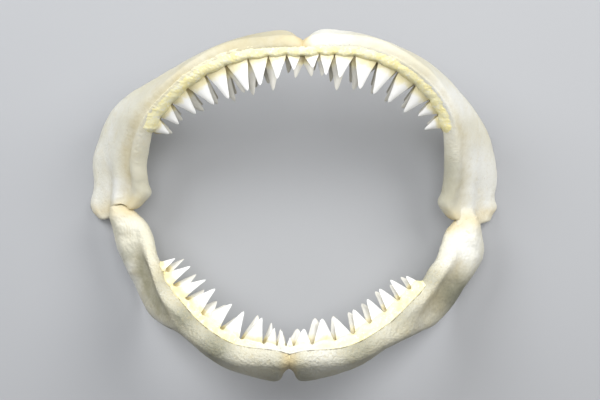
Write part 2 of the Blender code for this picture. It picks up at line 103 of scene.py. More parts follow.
lowerJaw = {
    "stations": (
        (3.4, -122.7, 142, 3.4, -145.6, 106, 9.5, 3.8),
        (18, -122, 141, 15.3, -158.6, 98, 10, 3.8),
        (53.5, -116.5, 130, 64.9, -143.8, 83, 11, 3.4),
        (86.5, -97, 112, 103.5, -118, 54, 11.5, 3.2),
        (115.5, -72, 91, 146.9, -103.9, 13, 11.5, 3),
        (135, -48, 70, 171.1, -64.9, 0.5, 10.5, 3.2),
        (144, -25.5, 54, 182.1, -33.3, 4, 9.5, 3.4),
        (148.5, -13, 47, 181.3, -14.8, 15, 8.5, 4),
        (159.5, -1, 42, 179, 0, 28, 6.5, 4.5),
    ),
    "start": -0.29,
    "endRadius": 4.8,
    "cheek": ((0, 3), (1, 3.6), (2.5, 3.4), (3.6, 2.6), (4.3, 2), (4.8, 4), (5.3, 9.5), (5.8, 14),
              (6.4, 14.5), (7.2, 13), (8, 9)),
    "grain": ((18, 0.5), (6, 0.22), (2.6, 0.3)),
    "rough": (1, 0.8, 0.22),
    "gumStain": 0.25,
    "folds": (
        (((3, 0.7, 0), (3.6, 0.64, -4), (4.1, 0.6, -8), (4.6, 0.58, -9.5), (5, 0.57, -7.5),
          (5.5, 0.57, -3), (5.9, 0.57, 0)), 7.5),
        (((2.6, 0.92, 0), (3.6, 0.88, 3.5), (5, 0.86, 4.5), (6.2, 0.88, 2.5), (7.5, 0.94, 0.8)), 5.5),
    ),
    "left": {
        "foldStrength": 1, "hollowShade": 0.8, "striae": 1, "ribs": (6.2, 7.8, 0, 0), "gumEnd": 4.95,
        "gumStart": ((0, -22), (1, -26), (2, -33), (3, -37), (4, -52), (4.6, -60)),
        "pale": ((7.2, 0.5, 12, 0.6), (5, 0.97, 22, 1), (3.6, 0.97, 16, 0.5)),
        "warm": ((0, 0.5, 9, 0.8), (4.6, 0.15, 14, 0.6), (7.8, 0.4, 7, 0.5)),
        "paintedShade": ((0.6, 0.85, 22, 0.7), (2.3, 0.6, 22, 1.1), (3.3, 0.4, 22, 1), (4.4, 0.25, 16, 0.6),
                 (5.5, 0.8, 9, 0.7)),
    },
    "right": {
        "foldStrength": 0.6, "hollowShade": 0.15, "striae": 0, "ribs": (6, 7.2, 0.3, 0.2), "gumEnd": 4.4,
        "gumStart": ((0, -20), (1, -20), (2, -18), (3, -16), (4, -12), (4.6, -8)),
        "pale": ((7, 0.6, 18, 0.9), (5.8, 0.5, 18, 0.8), (1.2, 0.15, 20, 0.4)),
        "warm": ((0, 0.5, 9, 0.8), (4.4, 0.65, 14, 0.5), (7.4, 0.1, 9, 0.8)),
        "paintedShade": ((0.7, 0.95, 20, 0.9), (2.2, 0.45, 24, 0.8), (3.4, 0.2, 24, 0.65),
                 (4.6, 0.1, 14, 0.6), (4.6, 0.97, 20, 1.3)),
    },
}
# drying: fronts askew to the hinge line, blades flared, lobes of the joint raised on one side
drying = {
    "upperSkew": 0.06, "lowerSkew": 0.03,
    "lowerFlare": 5.2, "upperFlare": 5,
    "upperShift": 1.5, "lowerShift": -1.2,
    "shoulderShift": -1.5, "cornerShift": 3, "cornerDrop": 3.2,
    "lobeRise": 2, "lobeSkew": 5.5, "lobeCorner": 4,
    "upperNotch": 2, "lowerNotch": 1.5,
}
hinge = (2.3525, -7.1852)  # middle of the hinge line in the frame, mm


def dried(points):
    x, y, z = points.T
    side = abs(x)
    front = smooth(10, 95, abs(y))
    lobe = (1 - smooth(0, 30, abs(y))) * smooth(175, 195, side)
    corner = smooth(95, 115, -y) * smooth(85, 115, side) * (1 - smooth(135, 160, side))
    skew = np.where(y > 0, drying["upperSkew"], drying["lowerSkew"])
    along = y + skew * x * front * (1 - smooth(120, 195, side))
    along += (drying["lobeRise"] + drying["lobeSkew"] * x / 200) * lobe
    corners = smooth(184, 202, x) * (1 - smooth(-8, 8, y)) * smooth(-20, -8, y)
    along += drying["lobeCorner"] * corners
    along -= np.where(x > 0, drying["cornerDrop"], 0) * corner
    notch = drying["lowerNotch"] * smooth(128, 142, -y) - drying["upperNotch"] * smooth(150, 162, y)
    along += notch * hump(x, 0, 6)
    low = smooth(-10, 40, -y) * (1 - smooth(112, 145, -y)) * smooth(122, 165, side)
    high = (1 - smooth(0, 90, y)) * smooth(-30, 0, y) * smooth(60, 180, -x)
    shoulder = smooth(20, 60, y) * smooth(120, 170, side)
    across = x + drying["lowerFlare"] * low - drying["upperFlare"] * high
    across += drying["shoulderShift"] * shoulder + drying["cornerShift"] * corner
    shift = np.where(y > 0, drying["upperShift"], drying["lowerShift"])
    across += shift * front * (1 - smooth(20, 120, side))
    return np.stack([across + hinge[0], along + hinge[1], np.maximum(z, 0)], axis=1)


# section of a half jaw: how far the tooth line looks up from straight inward, the gum that pads the bar as
# far as the teeth go, how fast both faces thin from the bar to the rim, and the rim itself
section = {
    "toothLineRise": math.radians(15), "gumPad": 3.6, "padEnd": (4, 5),
    "lingualTaper": 1.7, "labialTaper": 1.2, "thinFrom": 0.82, "thinner": 0.3,
    "rimRound": 0.7, "rimHeight": 0.72,
}


def radial(cut, turn):
    # directions round the toothed bar: 0 away from the outer edge, 90 degrees on the labial side
    turn = turn[..., None]
    return cut["labial"][:, None, :] * np.sin(turn) - cut["blade"][:, None, :] * np.cos(turn)


class Arch:
    # one half jaw; a section is an upright plane through its inner and outer edge
    def __init__(self, jaw):
        self.jaw, self.rows = jaw, np.array(jaw["stations"])
        self.last = len(self.rows) - 1
        self.fine = np.linspace(0, self.last, 801)
        rows = self.at(self.fine)
        self.run = self.lengths((rows[:, 0:3] + rows[:, 3:6]) / 2)
        self.toothRun = self.lengths(rows[:, 0:2])

    @staticmethod
    def lengths(points):
        return np.concatenate([[0], np.cumsum(np.linalg.norm(np.diff(points, axis=0), axis=1))])

    def at(self, places):
        i = np.minimum(places.astype(int), self.last - 1)
        t = (places - i)[:, None]
        rows = np.vstack([2 * self.rows[0] - self.rows[1], self.rows, 2 * self.rows[-1] - self.rows[-2]])
        a, b, c, d = rows[i], rows[i + 1], rows[i + 2], rows[i + 3]
        square, cube = (2 * a - 5 * b + 4 * c - d) * t**2, (3 * b - a - 3 * c + d) * t**3
        return 0.5 * (2 * b + (c - a) * t + square + cube)

    def sections(self, places):
        places = np.atleast_1d(np.asarray(places, float))
        rows = self.at(places)
        inner, outer, bar, rim = rows[:, 0:3], rows[:, 3:6], rows[:, 6], rows[:, 7]
        outward = outer[:, 0:2] - inner[:, 0:2]
        span = np.linalg.norm(outward, axis=1)
        size = bar + section["gumPad"] * (1 - smooth(*section["padEnd"], places))
        rise = section["toothLineRise"]
        centre = np.stack([size * math.cos(rise), -size * math.sin(rise)], axis=1)
        blade = np.stack([span, outer[:, 2] - inner[:, 2]], axis=1) - centre
        length = np.linalg.norm(blade, axis=1)
        blade = blade / length[:, None]
        labial = np.stack([-blade[:, 1], blade[:, 0]], axis=1)
        cheek = np.interp(places, *np.array(self.jaw["cheek"]).T)
        return {"place": places, "inner": inner, "outward": outward / span[:, None], "span": span,
                "centre": centre, "blade": blade, "labial": labial, "length": length, "bar": bar, "rim": rim,
                "cheek": cheek}

    def inSpace(self, cut, flat):
        # flat holds (across, height) in each section; the result is in the jaw's own space
        out = np.empty(flat.shape[:-1] + (3,))
        out[..., 0:2] = cut["inner"][:, None, 0:2] + cut["outward"][:, None, :] * flat[..., 0:1]
        out[..., 2] = cut["inner"][:, None, 2] + flat[..., 1]
        return out

    def turnOf(self, points, cut):
        # angle round the toothed bar of each point, as radial takes it, in degrees
        away = points - cut["inner"]
        across = (away[:, 0:2] * cut["outward"]).sum(axis=1)
        away = np.stack([across, away[:, 2]], axis=1) - cut["centre"]
        return np.degrees(np.arctan2((away * cut["labial"]).sum(axis=1), -(away * cut["blade"]).sum(axis=1)))

    def readBack(self, points):
        # station and share from inner to outer edge of points in the jaw's own space
        count, batch, margin = 500, 8000, 12  # sections, points at a time, mm past the edges
        places = np.linspace(0, self.last, count)
        cut = self.sections(places)
        station, share = np.empty(len(points)), np.empty(len(points))
        for start in range(0, len(points), batch):
            part = points[start:start + batch]
            away = part[:, None, 0:2] - cut["inner"][None, :, 0:2]
            outward = cut["outward"][None]
            across = (away * outward).sum(axis=2)
            beside = abs(away[..., 0] * outward[..., 1] - away[..., 1] * outward[..., 0])
            beside += 4 * np.maximum(0, -margin - across)
            beside += 4 * np.maximum(0, across - cut["span"] - margin)
            best = beside.argmin(axis=1)
            station[start:start + batch] = places[best]
            share[start:start + batch] = across[np.arange(len(part)), best] / cut["span"][best]
        return station, share


def rolledGrid(points, **layers):
    # a grid rolled up along its short side: points[ring, place round it], closed at both ends;
    # each layer holds one number for every point, for the material
    rings, count = points.shape[:2]
    shape = bmesh.new()
    bmesh.ops.create_grid(shape, x_segments=count, y_segments=rings - 1, size=1)
    for name in layers:
        shape.verts.layers.float.new(name)
    handles = [(shape.verts.layers.float[name], values) for name, values in layers.items()]
    for vertex in shape.verts:
        ring = round((vertex.co.y + 1) / 2 * (rings - 1))
        place = round((vertex.co.x + 1) / 2 * count) % count
        vertex.co = points[ring, place]
        for handle, values in handles:
            vertex[handle] = values[ring, place]
    bmesh.ops.remove_doubles(shape, verts=shape.verts, dist=1e-4)
    bmesh.ops.holes_fill(shape, edges=[e for e in shape.edges if e.is_boundary], sides=0)
    bmesh.ops.recalc_face_normals(shape, faces=shape.faces)
    return shape


def meshFrom(shape, name):
    mesh = bpy.data.meshes.new(name)
    shape.to_mesh(mesh)
    shape.free()
    return mesh


def sheet(over, under, layers, name):
    # a closed sheet between two grids of points, painted alike on both faces
    points = np.concatenate([over, under[:, ::-1]], axis=1)
    layers = {key: np.concatenate([values, values[:, ::-1]], axis=1) for key, values in layers.items()}
    return meshFrom(rolledGrid(points, **layers), name)


def vertexValues(mesh, which):
    flat = np.empty(len(mesh.vertices) * 3)
    mesh.vertices.foreach_get(which, flat)
    return flat.reshape(-1, 3)


def moveTo(mesh, points):
    mesh.vertices.foreach_set("co", points.reshape(-1))
    mesh.update()


def paint(mesh, name, values):
    layer = mesh.attributes.new(name, "FLOAT", "POINT")
    layer.data.foreach_set("value", np.asarray(values, float))


def added(name, data):
    # a new object in the scene
    thing = bpy.data.objects.new(name, data)
    bpy.context.scene.collection.objects.link(thing)
    return thing


def withModifiers(mesh, *changes):
    # the mesh after these modifiers: each is a type and its settings
    obj = added("work", mesh)
    for kind, settings in changes:
        change = obj.modifiers.new(kind.lower(), kind)
        for name, value in settings.items():
            setattr(change, name, value)
    graph = bpy.context.evaluated_depsgraph_get()
    result = bpy.data.meshes.new_from_object(obj.evaluated_get(graph))
    bpy.data.objects.remove(obj)
    return result


def without(mesh, cutter):
    tool = added("cutter", cutter)
    result = withModifiers(mesh, ("BOOLEAN", {"solver": "EXACT", "operation": "DIFFERENCE", "object": tool}))
    bpy.data.objects.remove(tool)
    return result


def settle(mesh, side, name, *finish):
    # from the jaw's own space to the frame: side, drying, place
    points = vertexValues(mesh, "co")
    if side == "left":
        points = points * (-1, 1, 1)
        mesh.flip_normals()
    moveTo(mesh, dried(points) * mm)
    finished(mesh, name + side.title(), *finish)


def finished(mesh, name, material, slot, *nodes):
    mesh.materials.clear()
    mesh.materials.append(material)
    mesh.shade_smooth()
    piece = added(name, mesh)
    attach(piece, "root")
    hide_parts(*nodes)


# materials
class Shade:
    # a socket of a node tree that takes part in sums
    def __init__(self, tree, socket):
        self.tree, self.socket = tree, socket

    def node(self, kind, settings, *values, output=0, **inputs):
        # values go to the first sockets in turn, inputs to the sockets of these names
        made = self.tree.nodes.new(kind)
        for name, value in settings.items():
            setattr(made, name, value)
        ready = list(zip(made.inputs, values))
        for name, value in inputs.items():
            ready.append((next(s for s in made.inputs if name in (s.identifier, s.name)), value))
        for socket, value in ready:
            if isinstance(value, Shade):
                self.tree.links.new(value.socket, socket)
            else:
                socket.default_value = value
        return Shade(self.tree, made.outputs[output])

    def sum(self, operation, *values):
        return self.node("ShaderNodeMath", {"operation": operation}, *values)

    def __add__(self, other):
        return self.sum("ADD", self, other)

    def __sub__(self, other):
        return self.sum("SUBTRACT", self, other)

    def __rsub__(self, other):
        return self.sum("SUBTRACT", other, self)

    def __mul__(self, other):
        return self.sum("MULTIPLY", self, other)

    __radd__, __rmul__ = __add__, __mul__

    def wave(self):
        return self.sum("SINE", self)

    def between(self, low, high):
        return self.node("ShaderNodeMapRange", {"interpolation_type": "SMOOTHSTEP"}, self, low, high)

    def clipped(self):
        return self.node("ShaderNodeClamp", {}, self)

    def noise(self, scale, detail=3, roughness=0.55):
        return self.node("ShaderNodeTexNoise", {}, Vector=self, Scale=scale, Detail=detail,
                         Roughness=roughness)

    def cells(self, scale):
        return self.node("ShaderNodeTexVoronoi", {}, Vector=self, Scale=scale)

    def layer(self, name):
        # what paint has left on the mesh under this name
        return self.node("ShaderNodeAttribute", {"attribute_name": name}, output=2)

    def plain(self, colour):
        return self.node("ShaderNodeMix", {"data_type": "RGBA"}, 0, output=2, A_Color=(*colour, 1))

    def mixed(self, colour, amount):
        settings = {"data_type": "RGBA", "clamp_factor": True}
        return self.node("ShaderNodeMix", settings, amount, output=2, A_Color=self, B_Color=(*colour, 1))


def newMaterial(name, build=None, **fixed):
    material = bpy.data.materials.new(name)
    material.use_nodes = True
    tree = material.node_tree
    shader = tree.nodes["Principled BSDF"]
    for socket, value in fixed.items():
        shader.inputs[socket.replace("_", " ")].default_value = value
    if build:
        here = Shade(tree, tree.nodes.new("ShaderNodeTexCoord").outputs["Object"])
        colour, roughness, height, depth = build(here)
        bump = here.node("ShaderNodeBump", {}, Height=height, Distance=depth, Strength=1)
        for socket, value in (("Base Color", colour), ("Roughness", roughness), ("Normal", bump)):
            tree.links.new(value.socket, shader.inputs[socket])
    return material


cartilageLook = {
    "ivory": (0.7, 0.675, 0.54),
    "white": (0.84, 0.845, 0.8),
    "warm": (0.7, 0.62, 0.4),
    "tan": (0.5, 0.43, 0.25),
    # olive-grey of the painted shade
    "olive": (0.25, 0.25, 0.18),
    "buff": (0.64, 0.53, 0.3),
    "lemon": (0.88, 0.79, 0.45),
    "speck": (0.26, 0.21, 0.13),
    "tesserae": 800,  # tiles of the surface, to the metre
    "pebbles": 400,
}


def cartilageNodes(here):
    look = cartilageLook
    cloud = here.noise(24, 4, 0.6)
    patch = here.noise(75, 5, 0.65)
    grain = here.noise(900, 2, 0.6)
    tiles = here.cells(look["tesserae"])
    pebbles = here.noise(look["pebbles"], 2, 0.5)
    hollow, joint, wear = here.layer("hollow"), here.layer("joint"), here.layer("wear")
    run, across = here.layer("run"), here.layer("across")
    ribs = (run * 3.6 + patch * 5).wave() * here.layer("ribs") * patch.between(0.35, 0.6)
    striae = (across * 2.4 + run * 1.1 + cloud * 9).wave() * here.layer("striae") * patch.between(0.3, 0.6)
    # lighter at random, and at the pale places, which are partly a paler tone and partly painted highlight
    white = (cloud.between(0.45, 0.68) * 0.4 + here.layer("pale") * (patch * 0.6 + 0.6)).clipped()
    colour = here.plain(look["ivory"]).mixed(look["white"], white)
    warm = patch.between(0.45, 0.75) * 0.3 + here.layer("warm") * (patch * 0.9 + 0.4) + hollow * 0.5
    colour = colour.mixed(look["warm"], warm.clipped())
    colour = colour.mixed(look["tan"], (hollow * patch.between(0.3, 0.7) * 0.5).clipped())
    # painted shade: olive-grey in the hollow behind the bar and at the places of painted shade
    colour = colour.mixed(look["olive"], here.layer("shade") * (patch * 0.5 + 0.6))
    colour = colour.mixed(look["buff"], (joint * (patch * 1.2 + 0.25)).clipped())
    crumbs = here.noise(330, 4, 0.7)
    stain = (here.layer("stain") + crumbs - 0.9).between(0, 0.3)
    colour = colour.mixed(look["lemon"], stain * 0.8)
    colour = colour.mixed(look["warm"], (1 - tiles.between(0.1, 0.55)) * 0.25 * wear)
    colour = colour.mixed(look["tan"], (striae * 0.25).clipped())
    colour = colour.mixed(look["tan"], (1 - pebbles.between(0.3, 0.5)) * 0.35 * wear)
    speck = (1 - here.cells(105).between(0.03, 0.075)) * here.noise(60, 1).between(0.55, 0.62)
    colour = colour.mixed(look["speck"], speck * 0.6)
    height = (tiles * 0.35 + grain * 0.3 + pebbles * 1.5) * wear + patch * 0.3 + ribs * 0.1 + striae * 0.06
    return colour, patch * 0.25 + 0.5, height, 0.0009


gumLook = {
    "cream": (0.99, 0.94, 0.6), "yellow": (0.99, 0.87, 0.37),
    "pale": (0.8, 0.79, 0.72),
    "crumb": (0.97, 0.96, 0.84),
    # brown and crease: painted shade in the clefts between the teeth and along the gum's labial edge
    "amber": (0.66, 0.42, 0.1), "brown": (0.3, 0.21, 0.08),
    "crease": (0.13, 0.1, 0.07), "ivory": (0.82, 0.77, 0.56),
}


def gumNodes(here):
    look = gumLook
    cloud = here.noise(70, 5, 0.65)
    flecks = here.noise(260, 4, 0.7)
    crumbs = here.cells(430)
    grit = here.noise(700, 3, 0.6)
    pale, cleft, crease, border = (here.layer(name) for name in ("pale", "cleft", "crease", "border"))
    colour = here.plain(look["cream"]).mixed(look["yellow"], cloud.between(0.4, 0.62) * 0.75)
    colour = colour.mixed(look["crumb"], flecks.between(0.52, 0.66) * 0.75)
    spots = (1 - here.cells(190).between(0.05, 0.16)) * here.noise(50, 1).between(0.5, 0.6)
    colour = colour.mixed(look["amber"], spots * 0.35)
    colour = colour.mixed(look["pale"], (pale * (cloud * 0.6 + 0.7)).clipped())
    # painted shade: brown in the clefts between the teeth and round the far lingual side, a dark line along
    # the labial edge
    colour = colour.mixed(look["brown"], (cleft * (cloud * 0.9 + 0.4)).clipped())
    colour = colour.mixed(look["crease"], crease)
    colour = colour.mixed(look["ivory"], (border * 1.4 + flecks - 0.85).between(0, 0.4))
    return colour, cloud * 0.3 + 0.42, crumbs * 0.4 + grit * 0.4 + flecks * 0.4, 0.0006


# aged: painted shade of the rows behind the front one; stain: dark brown at the feet, on the rear rows also
# painted shade
enamelLook = {
    "white": (0.94, 0.94, 0.92), "aged": (0.46, 0.43, 0.33),
    "root": (0.88, 0.78, 0.38), "stain": (0.26, 0.17, 0.07),
}


def enamelNodes(here):
    look = enamelLook
    cloud = here.noise(90, 4, 0.6)
    fine = here.noise(520, 3, 0.6)
    height, age = here.layer("height"), here.layer("age")
    # painted shade: the rows behind the front one darker and greyer
    shadedRows = age * (cloud * 0.5 + 0.6)
    colour = here.plain(look["white"]).mixed(look["aged"], shadedRows.clipped())
    foot = 1 - (height + (0.5 - cloud) * 0.6).between(0.12, 0.42)
    colour = colour.mixed(look["root"], foot * 0.75)
    # darker brown at the feet: a little stain on the front row, painted shade on the rows behind
    deep = 1 - (height + (0.5 - cloud) * 0.3).between(0.05, 0.3)
    colour = colour.mixed(look["stain"], (deep * (age * 0.7 + 0.1)).clipped())
    return colour, fine * 0.12 + 0.24, fine * 0.6 + cloud, 0.00012


padLook = {"tan": (0.62, 0.53, 0.3), "yellow": (0.78, 0.69, 0.4)}


def padNodes(here):
    cloud = here.noise(110, 4, 0.6)
    grit = here.noise(800, 3, 0.6)
    colour = here.plain(padLook["tan"]).mixed(padLook["yellow"], cloud.between(0.4, 0.65))
    return colour, cloud * 0.3 + 0.45, cloud + grit * 0.4, 0.0008


cartilage = newMaterial("cartilage", cartilageNodes)
gumTissue = newMaterial("gumTissue", gumNodes)
enamel = newMaterial("enamel", enamelNodes, Coat_Weight=0.25, Coat_Roughness=0.2)
fibre = newMaterial("fibre", cartilageNodes)
padTissue = newMaterial("padTissue", padNodes)
print("materials ready")

# cartilages
cartilageMake = {
    "rings": 120,  # sections of a half jaw
    "voxel": 0.85,  # mm
    "smoothing": 6,  # rounds
    # head of the lower jaw in the joint, and the swelling below it: centre and radii
    "heads": (((171, -8.5, 38), (15, 12, 14.5)), ((167, -19, 40), (16, 14, 14.5))),
    "easedFrom": (136, -60, 30), "easedTo": (200, 1, 90), "easedRounds": 60,
    "jointGap": 0.9,
    "hollowDepth": 4.5,  # depth of a fold that counts as fully hollow
}


def outlines(cut, grow):
    # outline of each section, from the crest over the lingual face, the outer edge and the labial face
    count = len(cut["place"])
    bar, rim, length, grow = (value[:, None] for value in (cut["bar"], cut["rim"], cut["length"], grow))
    centre, blade, labial = (cut[name][:, None] for name in ("centre", "blade", "labial"))
    outward = np.linspace(0.05, 0.97, 18)
    turns = np.tile(np.radians(np.linspace(90, -90, 22)), (count, 1))
    crest = centre + radial(cut, turns) * np.maximum(bar + grow, 0.5)[..., None]
    thinner = 1 - section["thinner"] * smooth(section["thinFrom"], 1, outward)
    under = (rim + (bar - rim) * (1 - outward) ** section["lingualTaper"]) * thinner + grow
    under = centre + blade * (length * outward)[..., None] - labial * np.maximum(under, 0.4)[..., None]
    tip = np.radians(np.linspace(-80, 80, 9))
    back = section["rimRound"] * rim
    end = centre + blade * (length - back + (back + grow) * np.cos(tip))[..., None]
    end = end + labial * (np.maximum(section["rimHeight"] * rim + grow, 0.4) * np.sin(tip))[..., None]
    outward, thinner = outward[::-1], thinner[::-1]
    over = np.maximum((rim + (bar - rim) * (1 - outward) ** section["labialTaper"]) * thinner + grow, 0.4)
    over = over + cut["cheek"][:, None] * np.sin(math.pi * np.clip(outward * 1.02, 0, 1) ** 1.1) ** 0.8
    over = centre + blade * (length * outward)[..., None] + labial * over[..., None]
    return np.concatenate([crest, under, end, over], axis=1)


def cartilageLoft(arch, grow=0):
    count, radius = cartilageMake["rings"], arch.jaw["endRadius"]
    first = np.linspace(arch.jaw["start"], 0.4, 24)
    rest = np.interp(np.linspace(0, 1, count) * arch.run[-1], arch.run, arch.fine)
    places = np.concatenate([first, rest[rest > 0.41]])
    cut = arch.sections(places)
    walked = np.interp(places, arch.fine, arch.run) + np.minimum(places, 0) * arch.run[100]
    short = 1 - np.clip((walked - arch.jaw["start"] * arch.run[100]) / radius, 0, 1)
    rings = arch.inSpace(cut, outlines(cut, grow - radius * (1 - np.sqrt(1 - short**2))))
    middle = rings[-1].mean(axis=0)
    step = middle - rings[-2].mean(axis=0)
    step *= (3 + grow) / np.linalg.norm(step)
    caps = [middle + (rings[-1] - middle) * share + step * rise for share, rise in ((0.9, 0.6), (0.66, 1))]
    return meshFrom(rolledGrid(np.concatenate([rings, np.array(caps)])), "loft")


def jointHeads(grow=0):
    heads = []
    for centre, radii in cartilageMake["heads"]:
        shape = bmesh.new()
        bmesh.ops.create_uvsphere(shape, u_segments=48, v_segments=28, radius=1)
        bmesh.ops.scale(shape, vec=[radius + grow for radius in radii], verts=shape.verts)
        bmesh.ops.translate(shape, vec=centre, verts=shape.verts)
        heads.append(meshFrom(shape, "head"))
    return heads


def together(*meshes):
    shape = bmesh.new()
    for mesh in meshes:
        shape.from_mesh(mesh)
    return meshFrom(shape, "together")


def remeshed(mesh):
    return withModifiers(mesh, ("REMESH", {"mode": "VOXEL", "voxel_size": cartilageMake["voxel"]}),
                         ("SMOOTH", {"factor": 0.5, "iterations": cartilageMake["smoothing"]}))


def eased(mesh):
    # the head of the lower jaw runs into its bar without a valley
    shape = bmesh.new()
    shape.from_mesh(mesh)
    low, high = cartilageMake["easedFrom"], cartilageMake["easedTo"]
    near = [v for v in shape.verts if all(a < c < b for a, c, b in zip(low, v.co, high))]
    for _ in range(cartilageMake["easedRounds"]):
        bmesh.ops.smooth_vert(shape, verts=near, factor=0.5, use_axis_x=True, use_axis_y=True,
                              use_axis_z=True)
    return meshFrom(shape, "eased")


def largestOnly(mesh):
    shape = bmesh.new()
    shape.from_mesh(mesh)
    seen, islands = set(), []
    for first in shape.verts:
        if first in seen:
            continue
        island, waiting = [], [first]
        seen.add(first)
        while waiting:
            vertex = waiting.pop()
            island.append(vertex)
            for edge in vertex.link_edges:
                other = edge.other_vert(vertex)
                if other not in seen:
                    seen.add(other)
                    waiting.append(other)
        islands.append(island)
    islands.sort(key=len)
    for island in islands[:-1]:
        bmesh.ops.delete(shape, geom=island, context="VERTS")
    return meshFrom(shape, mesh.name)


def folded(arch, side, station, share, span):
    # height of the folds at each point, and how deep it lies in one
    lift, hollow = np.zeros(len(share)), np.zeros(len(share))
    for path, width in arch.jaw["folds"]:
        stations, shares, heights = np.array(path).T
        centre = np.interp(station, stations, shares)
        height = np.interp(station, stations, heights, left=0) * arch.jaw[side]["foldStrength"]
        form = hump((share - centre) * span, 0, width)
        lift += height * form
        hollow += np.maximum(0, -height / cartilageMake["hollowDepth"]) * form
    return lift, hollow


def spotted(arch, spots, run, share, span):
    # how strongly these places show at each point
    values = np.zeros(len(run))
    for place, middle, size, strength in spots:
        away = np.hypot(run - np.interp(place, arch.fine, arch.run), (share - middle) * span)
        values += strength * hump(away, 0, size)
    return np.clip(values, 0, 1.5)


def sculpted(mesh, arch, side, seed):
    jaw, own = arch.jaw, arch.jaw[side]
    points, facing = vertexValues(mesh, "co"), vertexValues(mesh, "normal")
    station, share = arch.readBack(points)
    cut = arch.sections(station)
    span = cut["span"]
    labial = np.hstack([cut["outward"] * cut["labial"][:, 0:1], cut["labial"][:, 1:2]])
    front = smooth(0, 0.6, (facing * labial).sum(axis=1))
    lift, hollow = folded(arch, side, station, share, span)
    bend = np.maximum(front, 0.8 * smooth(0.4, 0.6, share))  # the thin blade bends as a whole
    points = points + labial * (lift * bend)[:, None]
    flip = -1 if side == "left" else 1
    rough = np.zeros(len(points))
    for wave, size in jaw["grain"]:
        rough += [size * noise.noise(Vector((x * flip / wave + seed, y / wave, z / wave)))
                  for x, y, z in points]
    moveTo(mesh, points + facing * rough[:, None])

    run = np.interp(station, arch.fine, arch.run)
    # pale: lighter places, partly a paler tone and partly painted highlight; warm: warmer places;
    # paintedShade: places of painted shade
    pale, warm, paintedShade = (spotted(arch, own[name], run, share, span) for name in ("pale", "warm", "paintedShade"))
    nearJoint = hump(points[:, 1], -1, 9) * smooth(135, 150, points[:, 0])
    nearMiddle = 1 - smooth(1, 11, points[:, 0])
    turn = arch.turnOf(points, cut)
    beyond = np.radians(turn - np.interp(station, *np.array(own["gumStart"]).T)) * cut["bar"]
    stain = np.exp(-np.maximum(beyond, 0) / 2) * (beyond > -30) * (abs(turn) < 120)
    stain = stain * (1 - smooth(0, 0.3, station - own["gumEnd"]))
    bar, blade, end = jaw["rough"]
    wear = bar + (blade - bar) * smooth(0.3, 0.55, share)
    wear = wear * (1 - 0.65 * smooth(4.8, 5.8, station))
    wear = wear + (end - wear) * smooth(3.2, 4, station) * smooth(0.3, 0.5, share)
    striae = hump(run, np.interp(6.6, arch.fine, arch.run), 14) * hump(share, 0.6, 0.25)
    first, last, reach, strength = own["ribs"]
    ribs = smooth(first, first + 0.6, station) * (1 - smooth(last - 0.6, last, station))
    layers = {
        "pale": pale, "warm": warm, "hollow": np.clip(hollow, 0, 1) * front,
        # shade: painted shade in the hollow behind the bar and at the places of painted shade
        "shade": np.maximum(np.clip(hollow * front, 0, 1) * own["hollowShade"], paintedShade),
        "joint": np.maximum(0.6 * nearJoint, nearMiddle), "stain": stain * jaw["gumStain"],
        "wear": wear, "run": run, "across": share * span, "striae": striae * own["striae"],
        "ribs": ribs * (1 - smooth(reach - 0.12, reach, share)) * strength,
    }
    for name, values in layers.items():
        paint(mesh, name, values)
    return mesh


arches = {"upper": Arch(upperJaw), "lower": Arch(lowerJaw)}
seeds = {"right": 3, "left": 41}
gap = cartilageMake["jointGap"]
lowerBody = eased(remeshed(together(cartilageLoft(arches["lower"]), *jointHeads())))
socket = remeshed(together(cartilageLoft(arches["lower"], gap), *jointHeads(gap)))
upperBody = remeshed(largestOnly(without(cartilageLoft(arches["upper"]), socket)))
for side, seed in seeds.items():
    upper = sculpted(upperBody.copy(), arches["upper"], side, seed)
    lower = sculpted(lowerBody.copy(), arches["lower"], side, seed + 7)
    settle(upper, side, "upperCartilage", cartilage, "cartilage", "palatoquadrate_" + side)
    settle(lower, side, "lowerCartilage", cartilage, "cartilage", "meckels_cartilage_" + side)
print("cartilages", len(upperBody.vertices), len(lowerBody.vertices), "vertices")

